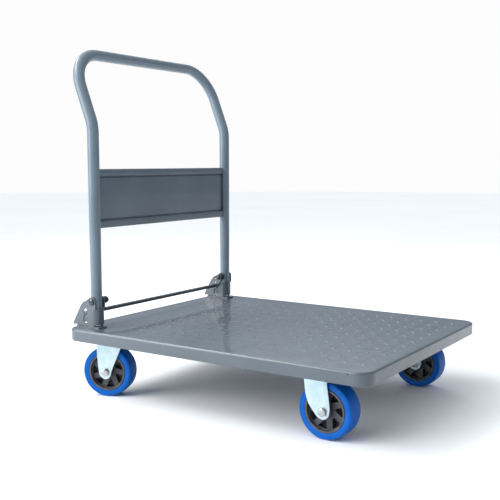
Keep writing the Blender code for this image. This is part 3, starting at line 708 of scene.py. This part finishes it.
# ---------------------------------------------------------------- handle brackets
def make_bracket(label, side):
    """Stamped bracket: U wall round the upright, flat ears, slots and a base plate."""
    place = at(PIVOT.x, side * HANDLE_HALF_WIDTH, PIVOT.z)
    foot, back = BRACKET_FOOT, BRACKET_BACK
    channel = [(back, -BRACKET_OUTER)] + arc((0, 0), BRACKET_OUTER, -90, 90, 24)
    channel += [(back, BRACKET_OUTER), (back, BRACKET_BORE)]
    channel += arc((0, 0), BRACKET_BORE, 90, -90, 24) + [(back, -BRACKET_BORE)]
    hem = foot + BRACKET_HEM
    bracket = raw("bracket_" + label, prism(channel, hem, BRACKET_TOP), place)

    lower = softened([(-0.0625, hem), (-0.0640, foot + 0.0100), (-0.0370, -0.0105),
                      (-0.0260, 0.0005)], 0.004)
    outline = lower + arc((0, 0), BRACKET_EAR, 125, 95, 4)
    outline += [(-0.001, BRACKET_RIM), (BRACKET_FRONT, BRACKET_RIM), (BRACKET_FRONT, hem)]
    combine(bracket, side_prism(outline, -THROUGH, THROUGH), "INTERSECT")
    low = BRACKET_RIM - 0.004
    ear = arc((0, 0), BRACKET_EAR, 125, 0, 14) + [(BRACKET_EAR, low), (-0.012, low)]
    for cheek in (-1, 1):
        edges = sorted((cheek * BRACKET_BORE, cheek * BRACKET_OUTER))
        combine(bracket, side_prism(ear, *edges), "UNION")

    width = ROD_RADIUS + 0.0007
    rod_x, rod_z = ROD.x - PIVOT.x, ROD.z - PIVOT.z
    slot = arc((rod_x, rod_z + 0.0060), width, 0, 180, 12)
    slot += arc((rod_x, rod_z - 0.0200), width, 180, 360, 12)
    combine(bracket, side_prism(slot, -THROUGH, THROUGH), "DIFFERENCE")
    lobe = [(rod_x + LOBE[0] * math.cos(a), rod_z - 0.0165 + LOBE[1] * math.sin(a))
            for a in map(math.radians, range(0, 360, 12))]
    combine(bracket, side_prism(lobe, -THROUGH, THROUGH), "DIFFERENCE")
    gap = [(0.0040, hem - 0.002), (0.03, hem - 0.002), (0.03, foot + 0.0125), (0.0130, foot + 0.0105),
           (0.0040, hem + 0.002)]
    combine(bracket, side_prism(gap, -THROUGH, THROUGH), "DIFFERENCE")
    base = [(x - 0.018, y) for x, y in rounded_rectangle(0.078, 2 * BRACKET_BORE + 0.0006, 0.004, 4)]
    combine(bracket, prism(base, foot + GAP, foot + BRACKET_BASE + GAP), "UNION")
    notch = arc((rod_x, foot + BRACKET_BASE + GAP), 0.0034, 0, 180, 10)
    combine(bracket, side_prism(notch, -THROUGH, THROUGH), "DIFFERENCE")
    combine(bracket, drill(BOLT_BORE, THROUGH), "DIFFERENCE", place @ ALONG_Y)
    for x in BRACKET_BOLTS:
        hole = spindle([(0.0043, foot - 0.01), (0.0043, foot + 0.01)], 16)
        combine(bracket, hole, "DIFFERENCE", place @ Matrix.Translation((x, 0, 0)))
    small = spindle([(0.0024, 0.010), (0.0024, 0.022)], 16)
    turn = ALONG_MINUS_Y if side > 0 else ALONG_Y
    combine(bracket, small, "DIFFERENCE", place @ at(-0.0235, 0, -0.0075, turn))
    dress(settle(bracket), "grey_paint", "deck", "handle_bracket_" + label, bevel=0.0005)

    seam = bmesh.new()
    for cheek in (-1, 1):
        y = side * HANDLE_HALF_WIDTH + cheek * (BRACKET_BORE - 0.0006)
        z = PIVOT.z + foot + BRACKET_BASE + 0.0006
        weld_bead(seam, (PIVOT.x - 0.050, y, z), (PIVOT.x - 0.034, y, z), 0.0014)
        weld_bead(seam, (PIVOT.x - 0.010, y, z), (PIVOT.x + 0.004, y, z), 0.0014)
    dress(raw("bracket_welds_" + label, seam), "weld", "deck", crisp=80)


def make_bracket_hardware(label, side):
    """Pivot bolt, its nut and the two bolts that hold the bracket to the deck."""
    y = side * HANDLE_HALF_WIDTH
    outward, inward = (ALONG_Y, ALONG_MINUS_Y) if side > 0 else (ALONG_MINUS_Y, ALONG_Y)
    face = BRACKET_OUTER + GAP
    nut_foot = face + SPRING_WIRE * (SPRING_TURNS + 1) + 0.0012
    nut_height = 0.0085
    bolt = dome_bolt(0.005, 0.0086, 0.0050, face + nut_foot + nut_height + 0.002)
    piece("pivot_screw_" + label, bolt, at(PIVOT.x, y + side * face, PIVOT.z, outward),
          "dark_steel", "deck", "pivot_bolt_" + label, crisp=28)
    piece("pivot_lock_nut_" + label, lock_nut(0.0048, 0.016, nut_height),
          at(PIVOT.x, y - side * nut_foot, PIVOT.z, inward),
          "dark_steel", "deck", "pivot_nut_" + label, crisp=28)
    repaint("pivot_sleeve_" + label, "fastener_steel")
    for x, end in zip(BRACKET_BOLTS, ("rear", "front")):
        bolt = hex_bolt(0.004, 0.013, 0.0053, BRACKET_BASE + DECK_SHEET + 0.003, thread=0.004)
        place = at(PIVOT.x + x, y, DECK_TOP + BRACKET_BASE + 2 * GAP)
        name = "%s_%s" % (label, end)
        piece("bracket_screw_" + name, bolt, place, "zinc_plate", "deck", "bracket_bolt_" + name, crisp=28)


# ---------------------------------------------------------------- handle
def make_handle():
    """One-piece bent tube and its plugs."""
    bar_x = PIVOT.x - LEAN_LENGTH * math.sin(LEAN)
    bar_z = BEND_HEIGHT + LEAN_LENGTH * math.cos(LEAN)
    half = HANDLE_HALF_WIDTH
    corners = [(PIVOT.x, -half, HANDLE_FOOT), (PIVOT.x, -half, BEND_HEIGHT), (bar_x, -half, bar_z),
               (bar_x, half, bar_z), (PIVOT.x, half, BEND_HEIGHT), (PIVOT.x, half, HANDLE_FOOT)]
    path = filleted(corners, [BEND_RADIUS, GRIP_RADIUS, GRIP_RADIUS, BEND_RADIUS])
    outer = sweep_rings(path, TUBE_RADIUS, 40, (1, 0, 0))
    inner = sweep_rings(path, TUBE_RADIUS - TUBE_WALL, 40, (1, 0, 0))
    tube = raw("push_handle", skin(outer + inner[::-1], closed=True))
    for side in SIDES.values():
        combine(tube, drill(SLEEVE_BORE, 0.02), "DIFFERENCE", at(PIVOT.x, side * half, PIVOT.z, ALONG_Y))
    dress(settle(tube), "lit_tube_paint", "handle", "handle_tube", crisp=35)
    for label in SIDES:
        repaint("tube_plug_" + label, "black_plastic")


def make_panel():
    """Pressed cross panel: proud rounded bands above and below a sunk middle, ends welded."""
    low, high = panel_low.z, panel_high.z
    sheet, hem = PANEL_SHEET, PANEL_HEM
    front, back = PIVOT.x + PANEL_PROUD, PIVOT.x - PANEL_RETURN
    web = PIVOT.x
    centre = [(back, high - sheet / 2), (front - sheet / 2, high - sheet / 2),
              (front - sheet / 2, high - hem), (web - 0.0032, high - hem - 0.0016),
              (web - 0.0032, high - hem - 0.0030), (web - sheet / 2, high - hem - 0.0062),
              (web - sheet / 2, low + hem + 0.0062), (web - 0.0032, low + hem + 0.0030),
              (web - 0.0032, low + hem + 0.0016), (front - sheet / 2, low + hem),
              (front - sheet / 2, low + sheet / 2), (back, low + sheet / 2)]
    curl = [0.0026, 0.0012, 0.0006, 0.0006, 0.0012]
    line = filleted([(x, 0, z) for x, z in centre], curl + curl[::-1], math.radians(15))
    outer, inner = [], []
    for i, point in enumerate(line):
        along = (line[min(i + 1, len(line) - 1)] - line[max(i - 1, 0)]).normalized()
        across = Vector((-along.z, 0.0, along.x)) * sheet / 2
        outer.append(point + across)
        inner.append(point - across)
    section = [(p.x, p.z) for p in outer + inner[::-1]]
    half = HANDLE_HALF_WIDTH - TUBE_RADIUS - GAP
    panel = raw("cross_panel", side_prism(section, -half, half))
    dress(panel, "panel_paint", "handle", "handle_panel", crisp=30)
    beads = bmesh.new()
    for side in SIDES.values():
        y = side * (half - 0.0002)
        for z in (low + 0.002, high - hem + 0.001):
            weld_bead(beads, (front - 0.0022, y, z), (front - 0.0022, y, z + hem - 0.003), 0.0019)
        for z in (low + 0.028, low + 0.075, high - 0.040):
            weld_bead(beads, (web - 0.0006, y, z), (web - 0.0006, y, z + 0.014), 0.0017)
            weld_bead(beads, (web - sheet - 0.001, y, z), (web - sheet - 0.001, y, z + 0.014), 0.0017)
    dress(raw("panel_welds", beads), "weld", "handle", crisp=80)


# ---------------------------------------------------------------- lock rod and springs
def make_lock():
    """Foot rod with chamfered ends, and the two springs that hold it up."""
    half = HANDLE_HALF_WIDTH + BRACKET_OUTER
    end = [(ROD_RADIUS, half - 0.0014), (ROD_RADIUS - 0.0003, half - 0.0005),
           (ROD_RADIUS - 0.0012, half)]
    profile = [(radius, -height) for radius, height in end[::-1]] + end
    piece("foot_rod", spindle(profile), at(ROD.x, 0, ROD.z, ALONG_Y), "rod_steel", "lock_rod", "lock_rod",
          crisp=40)
    for label, side in SIDES.items():
        place = at(PIVOT.x, side * (HANDLE_HALF_WIDTH - BRACKET_OUTER), PIVOT.z)
        coil = skin(sweep_rings(spring_path(side), SPRING_WIRE / 2, 12, (0, 1, 0)))
        piece("torsion_spring_" + label, coil, place, "spring_steel", "lock_springs",
              "lock_spring_" + label, crisp=50)


def spring_path(side):
    """Torsion spring wire: long leg under the rod, coil round the bolt, short rear leg."""
    rod = Vector((ROD.x - PIVOT.x, ROD.z - PIVOT.z))
    clearance = ROD_RADIUS + SPRING_WIRE / 2 + 0.0012
    leg_angle = math.atan2(rod.y, rod.x) - math.asin((SPRING_COIL - clearance) / rod.length)
    along = Vector((math.cos(leg_angle), math.sin(leg_angle)))
    below = Vector((-along.y, along.x))
    first = -side * (SPRING_WIRE / 2 + GAP)
    path = []
    for share in (1.0, 0.5):
        point = below * SPRING_COIL + along * 0.058 * share
        path.append(Vector((point.x, first, point.y)))
    start = math.atan2(below.y, below.x)
    steps = round(SPRING_TURNS * 28)
    for i in range(steps + 1):
        angle = start + 2 * math.pi * SPRING_TURNS * i / steps
        y = first - side * SPRING_WIRE * 1.02 * SPRING_TURNS * i / steps
        path.append(Vector((SPRING_COIL * math.cos(angle), y, SPRING_COIL * math.sin(angle))))
    path.append(path[-1] + (path[-1] - path[-2]).normalized() * 0.014)
    return path


# ---------------------------------------------------------------- casters
RIGID_LEG = ((-0.048, 0.120), (-0.0475, 0.090), (-0.044, 0.056), (-0.041, 0.032), (-0.034, 0.013),
             (-0.0140, -0.0115), (-0.005, -0.0162), (0.004, -0.0162), (0.0135, -0.009),
             (0.0150, 0.008), (0.012, 0.032), (0.004, 0.092), (0.004, 0.120))
SWIVEL_LEG = ((-0.016, 0.120), (-0.016, 0.085), (-0.0220, 0.062), (-0.0215, 0.040), (-0.0175, 0.0),
              (-0.0150, -0.0095), (-0.0045, -0.0170), (0.0035, -0.0170), (0.0120, -0.0100),
              (0.0160, 0.006), (0.0385, 0.060), (0.044, 0.085), (0.044, 0.120))


def bent_channel(top, reach, radius):
    """Inverted U of bent sheet along local X, its legs reaching below the axle."""
    half = FORK_GAP / 2 + FORK_SHEET
    outer = [(-half, -0.03)] + arc((-half + radius, top - radius), radius, 180, 90, 6)
    outer += arc((half - radius, top - radius), radius, 90, 0, 6) + [(half, -0.03)]
    inner_radius = radius - FORK_SHEET
    inner_half = half - FORK_SHEET
    inner = [(inner_half, -0.03)] + arc((half - radius, top - radius), inner_radius, 0, 90, 6)
    inner += arc((-half + radius, top - radius), inner_radius, 90, 180, 6) + [(-inner_half, -0.03)]
    return skin([[(x, y, z) for y, z in outer + inner] for x in (-reach, reach)])


def fork_shell(name, place, top, bend, outline, softness):
    """Bent channel trimmed to the fork's side view, with its axle hole."""
    fork = raw(name, bent_channel(top, 0.07, bend), place)
    combine(fork, side_prism(softened(outline, softness), -0.04, 0.04), "INTERSECT")
    combine(fork, drill(BOLT_BORE, 0.04), "DIFFERENCE", place @ ALONG_Y)
    return settle(fork)


def fold_legs(obj, start, stop, angle, ceiling):
    """Bend the legs inwards along the side-view line from start to stop, with a pressed crease."""
    crease = 0.0009
    solid = bmesh.new()
    solid.from_mesh(obj.data)
    start, stop = Vector(start), Vector(stop)
    along = (stop - start).normalized()
    normal = Vector((-along.y, along.x))
    if normal.x < 0:
        normal.negate()
    for shift in (-crease, 0.0, crease):
        point = start + normal * shift
        geometry = solid.verts[:] + solid.edges[:] + solid.faces[:]
        bmesh.ops.bisect_plane(solid, geom=geometry, dist=1e-6, plane_co=(point.x, 0, point.y),
                               plane_no=(normal.x, 0, normal.y))
    for vertex in solid.verts:
        offset = (Vector((vertex.co.x, vertex.co.z)) - start).dot(normal)
        if abs(vertex.co.y) < FORK_GAP / 2 - 0.001 or vertex.co.z > ceiling:
            continue
        fade = min(1.0, (ceiling - vertex.co.z) / 0.012)
        depth = max(offset, 0.0) * math.tan(angle) + (0.0007 if abs(offset) < crease / 2 else 0.0)
        vertex.co.y -= math.copysign(depth * fade, vertex.co.y)
    solid.to_mesh(obj.data)
    solid.free()


def plate_holes(obj, place, low):
    """Four mounting slots through a caster plate."""
    slot = arc((0.003, 0), 0.0045, -90, 90, 6) + arc((-0.003, 0), 0.0045, 90, 270, 6)
    for x, y in PLATE_CORNERS:
        hole = prism(slot, low - 0.01, low + 0.02)
        combine(obj, hole, "DIFFERENCE", place @ at(x, y, 0))


def plate_solid(centre, low):
    """Caster plate with round corners, its middle at x = centre."""
    outline = rounded_rectangle(PLATE[0], PLATE[1], 0.008, 6)
    return prism([(x + centre, y) for x, y in outline], low, low + PLATE[2])


def make_plate_bolts(label, x, y):
    """Four bolts up through a caster plate, with washers under the heads."""
    low = CASTER_HEIGHT - PLATE[2] - GAP
    solids = []
    for dx, dy in PLATE_CORNERS:
        bolt = hex_bolt(0.004, 0.013, 0.0058, 0.010, 0.0080, 0.006)
        solids.append(moved(bolt, at(x + dx, y + dy, low, FACING_DOWN)))
    dress(raw("plate_bolts_" + label, merge(*solids)), "zinc_plate", "deck", crisp=28)


def make_axle(end, label, place, body):
    """Axle bolt, its lock nut and washers; the sleeve keeps its shape."""
    name = end + "_" + label
    outside = FORK_GAP / 2 + FORK_SHEET + GAP
    nut_height = 0.009
    bolt = hex_bolt(0.005, 0.017, 0.0065, 2 * outside + nut_height + 0.002, 0.0098)
    piece("axle_screw_" + name, bolt, place @ at(0, -outside, 0, ALONG_MINUS_Y),
          "fastener_steel", body, "axle_bolt_" + name, crisp=28)
    piece("axle_lock_nut_" + name, lock_nut(0.0048, 0.017, nut_height, 0.0098),
          place @ at(0, outside, 0, ALONG_Y), "fastener_steel", body, "axle_nut_" + name, crisp=28)
    repaint("axle_sleeve_" + name, "fastener_steel")


def window(index, inner, outer):
    """Outline of one slanted wedge window between two spokes."""
    middle = 360.0 * index / WINDOWS
    slant, spread, foot = -9.0, 16.5, 6.0
    corners = arc((0, 0), outer, middle - spread, middle + spread, 6)
    corners += arc((0, 0), inner, middle + slant + foot, middle + slant - foot, 2)
    return softened(corners, 0.0030, 3)


def make_wheel(end, label, place, body):
    """Blue tyre with flat sides and rounded shoulders, plastic centre with windows, bearing."""
    name = end + "_" + label
    axis = place @ ALONG_Y
    phase = Matrix.Rotation(WINDOW_PHASE[end], 4, "Z")
    half, bend = TREAD_HALF, 0.0034
    side = [(HUB_RADIUS + GAP, half - 0.0010), (HUB_RADIUS + 0.0012, half - 0.0002),
            (HUB_RADIUS + 0.0020, half), (0.0570, half), (0.0574, half - 0.0006), (0.0579, half - 0.0006),
            (0.0583, half - 0.0001)]
    shoulder = []
    for angle in map(math.radians, (10, 30, 50, 70, 85)):
        shoulder.append((WHEEL_RADIUS - 0.0008 - bend + bend * math.sin(angle),
                         half - 0.0001 - bend * (1 - math.cos(angle))))
    crown = [(WHEEL_RADIUS - 0.0006, half * 0.66), (WHEEL_RADIUS - 0.0001, half * 0.36),
             (WHEEL_RADIUS, half * 0.12)]
    upper = side + shoulder + crown
    profile = upper + [(radius, -height) for radius, height in upper[::-1]]
    piece("tread_" + name, turned(profile, 128), axis, "blue_tyre", body, "tyre_" + name, crisp=32)

    rim, web, boss = half - 0.0004, 0.0150, FORK_GAP / 2 - 0.0015
    wall = HUB_RADIUS - 0.0045
    profile = [(0.0115, -boss), (0.0155, -boss), (0.0162, -boss + 0.0008), (0.0172, -web - 0.0006),
               (0.0185, -web), (wall - 0.0010, -web), (wall - 0.0002, -web - 0.0008), (wall, -rim + 0.0008),
               (wall + 0.0006, -rim), (HUB_RADIUS - 0.0006, -rim), (HUB_RADIUS, -rim + 0.0008)]
    profile += [(radius, -height) for radius, height in profile[::-1]]
    hub = raw("wheel_centre_" + name, moved(turned(profile, 84), phase), axis)
    for index in range(WINDOWS):
        for low, high in ((HUB_WEB_HALF, 0.03), (-0.03, -HUB_WEB_HALF)):
            cut = moved(prism(window(index, *WINDOW_REACH), low, high), phase)
            combine(hub, cut, "DIFFERENCE")
    dress(settle(hub), "black_plastic", body, "hub_" + name, bevel=0.0005, crisp=40)

    rings = []
    for face in (-1, 1):
        ring = [(wall - 0.0003, face * (rim + 0.0002)), (wall + 0.0003, face * (rim + 0.0011)),
                (HUB_RADIUS - 0.0006, face * (rim + 0.0011)), (HUB_RADIUS - 0.0001, face * (rim + 0.0004)),
                (HUB_RADIUS - 0.0001, face * (rim - 0.0012)), (wall - 0.0003, face * (rim - 0.0012))]
        rings.append(turned(ring, 84))
    piece("rim_lip_" + name, merge(*rings), axis, "rim_plastic", body, crisp=40)
    repaint("wheel_bearing_" + name, "fastener_steel")


def make_rigid_caster(label):
    """Front caster: plate and bent fork in one, its legs swept back from the axle."""
    joint = JOINTS["wheel_front_%s_spin" % label]
    place = Matrix.Translation(joint["pos_m"])
    top = CASTER_HEIGHT - WHEEL_RADIUS
    fork = fork_shell("rigid_bracket_" + label, place, top, 0.009, RIGID_LEG, 0.006)
    fold_legs(fork, (-0.002, 0.090), (0.0088, 0.0), math.radians(17), top - 0.012)
    combine(fork, plate_solid(-TRAIL, top - PLATE[2]), "UNION")
    plate_holes(fork, place @ at(-TRAIL, 0, 0), top - PLATE[2])
    dress(settle(fork), "zinc_plate", "deck", "rigid_fork_" + label, bevel=0.0005, crisp=30)
    make_axle("front", label, place, "deck")
    make_wheel("front", label, place, "wheel_front_" + label)
    plate_x = joint["pos_m"][0] - TRAIL
    make_plate_bolts("front_" + label, plate_x, joint["pos_m"][1])


def make_swivel_caster(label):
    """Rear caster: top plate, ball race, king pin and a turned fork that trails its pivot."""
    x, y = JOINTS["swivel_" + label]["pos_m"][:2]
    body = "swivel_" + label
    low = CASTER_HEIGHT - PLATE[2]
    plate = raw("top_plate_" + label, plate_solid(0, low), at(x, y, 0))
    combine(plate, spindle([(KINGPIN_BORE, 0.14), (KINGPIN_BORE, 0.17)], 24), "DIFFERENCE")
    plate_holes(plate, at(x, y, 0), low)
    dress(settle(plate), "zinc_plate", "deck", "swivel_top_plate_" + label, bevel=0.0004)
    make_plate_bolts("rear_" + label, x, y)

    pivot = at(x, y, 0, Matrix.Rotation(SWIVEL_YAW, 4, "Z"))
    axle = pivot @ at(-TRAIL, 0, WHEEL_RADIUS)
    top = CROWN_TOP - WHEEL_RADIUS
    fork = fork_shell("turning_fork_" + label, axle, top, 0.012, SWIVEL_LEG, 0.007)
    fold_legs(fork, (0.004, 0.070), (0.0145, 0.004), math.radians(6), top - 0.014)
    under = top - FORK_SHEET
    crown = turned([(KINGPIN_BORE, under), (0.0368, under), (0.0378, under - 0.0012),
                    (0.0380, top - 0.0012), (0.0372, top), (KINGPIN_BORE, top)], 64)
    combine(fork, moved(crown, Matrix.Translation((TRAIL, 0, 0))), "UNION")
    dress(settle(fork), "zinc_plate", body, "swivel_fork_" + label, bevel=0.0005, crisp=30)

    race_low, race_high = CROWN_TOP + GAP, low - GAP
    middle = (race_low + race_high) / 2
    race = turned([(0.0240, race_low), (0.0352, race_low), (0.0366, race_low + 0.0009),
                   (0.0368, middle - 0.0009), (0.0357, middle - 0.0002), (0.0357, middle + 0.0002),
                   (0.0366, middle + 0.0009), (0.0360, race_high - 0.0008), (0.0345, race_high),
                   (0.0240, race_high)], 96)
    piece("race_" + label, race, pivot, "zinc_plate", body, "ball_race_" + label, crisp=30)
    crown_low = CROWN_TOP - FORK_SHEET
    pin = spindle([(0.0060, crown_low - 0.0066), (0.0086, crown_low - 0.0062), (0.0098, crown_low - 0.0048),
                   (0.0102, crown_low - 0.0020), (0.0102, crown_low - GAP), (0.0060, crown_low - GAP),
                   (0.0060, CASTER_HEIGHT - GAP)], 40)
    piece("king_pin_" + label, pin, pivot, "fastener_steel", body, "kingpin_" + label, crisp=40)
    make_axle("rear", label, axle, body)
    make_wheel("rear", label, axle, "wheel_rear_" + label)


# ---------------------------------------------------------------- stage
def area_light(name, location, target, size, power, colour=(1.0, 1.0, 1.0)):
    """Soft rectangular light aimed at a target."""
    data = bpy.data.lights.new(name, "AREA")
    data.shape = "RECTANGLE"
    data.size, data.size_y = size
    data.energy = power
    data.color = colour
    light = bpy.data.objects.new(name, data)
    light.location = location
    direction = Vector(target) - Vector(location)
    light.rotation_euler = direction.to_track_quat("-Z", "Y").to_euler()
    bpy.context.scene.collection.objects.link(light)


def make_world():
    """Sky of soft light: bright overhead, dimmer towards the horizon."""
    world = bpy.data.worlds.new("studio")
    bpy.context.scene.world = world
    world.use_nodes = True
    nodes, links = world.node_tree.nodes, world.node_tree.links
    place = nodes.new("ShaderNodeTexCoord")
    split = nodes.new("ShaderNodeSeparateXYZ")
    ramp = nodes.new("ShaderNodeValToRGB")
    stops = ((0.0, (0.17, 0.21, 0.26, 1.0)), (0.9, (0.84, 0.88, 0.92, 1.0)))
    for element, (position, colour) in zip(ramp.color_ramp.elements, stops):
        element.position = position
        element.color = colour
    links.new(place.outputs["Generated"], split.inputs["Vector"])
    links.new(split.outputs["Z"], ramp.inputs["Fac"])
    links.new(ramp.outputs["Color"], nodes["Background"].inputs["Color"])


def make_stage():
    """Plain pale floor with a white backdrop that is seen but lights nothing; lights; camera."""
    reach = STAGE_RADIUS
    floor = raw("floor", spindle([(reach, -0.02), (reach, 0.0)], 64))
    g = Graph("floor_white")
    tone = g.ramp(g.noise(0.8, 2.0), [(0.3, (0.91, 0.91, 0.91)), (0.7, (0.94, 0.94, 0.94))])
    floor.data.materials.append(g.set(Base_Color=tone, Roughness=0.8, Specular_IOR_Level=0.1))
    dome = [(reach * 1.01, -0.5)]
    dome += [(reach * math.cos(a), reach * math.sin(a)) for a in map(math.radians, range(5, 86, 5))]
    backdrop = raw("backdrop", spindle(dome, 64))
    g = Graph("backdrop_white")
    white = g.set(Base_Color=(0.0, 0.0, 0.0), Specular_IOR_Level=0.0, Roughness=1.0,
                  Emission_Color=(0.98, 0.98, 0.98), Emission_Strength=1.0)
    backdrop.data.materials.append(white)
    for ray in ("diffuse", "glossy", "transmission", "shadow", "volume_scatter"):
        setattr(backdrop, "visible_" + ray, False)
    make_world()

    middle = (DECK_X, 0.0, 0.3)
    area_light("key", (-2.4, -3.0, 1.3), middle, (3.0, 2.0), 84)
    area_light("strip", (-1.8, -0.9, 2.5), middle, (2.6, 0.7), 50, (0.97, 0.99, 1.0))
    area_light("rear", (-1.5, 2.3, 2.1), middle, (1.8, 1.0), 15, (0.95, 0.98, 1.0))
    sun = bpy.data.lights.new("sky_sun", "SUN")
    sun.energy = 1.8
    sun.angle = math.radians(60)
    lamp = bpy.data.objects.new("sky_sun", sun)
    lamp.rotation_euler = Vector((0.50, 0.72, -0.62)).to_track_quat("-Z", "Y").to_euler()
    bpy.context.scene.collection.objects.link(lamp)

    camera = bpy.data.objects.new("camera", bpy.data.cameras.new("camera"))
    camera.data.sensor_width = 36.0
    camera.data.lens = CAMERA_LENS
    camera.data.shift_x, camera.data.shift_y = CAMERA_SHIFT
    camera.location = CAMERA_PLACE
    camera.rotation_euler = (math.radians(90 - CAMERA_PITCH), 0.0, math.radians(CAMERA_HEADING))
    bpy.context.scene.collection.objects.link(camera)
    bpy.context.scene.camera = camera
    bpy.context.scene.view_settings.view_transform = "Standard"


# ---------------------------------------------------------------- build
make_stage()
make_deck()
make_treads()
make_underframe()
make_handle()
make_panel()
make_lock()
for side_name, side_sign in SIDES.items():
    make_bracket(side_name, side_sign)
    make_bracket_hardware(side_name, side_sign)
    make_rigid_caster(side_name)
    make_swivel_caster(side_name)

bpy.context.view_layer.update()
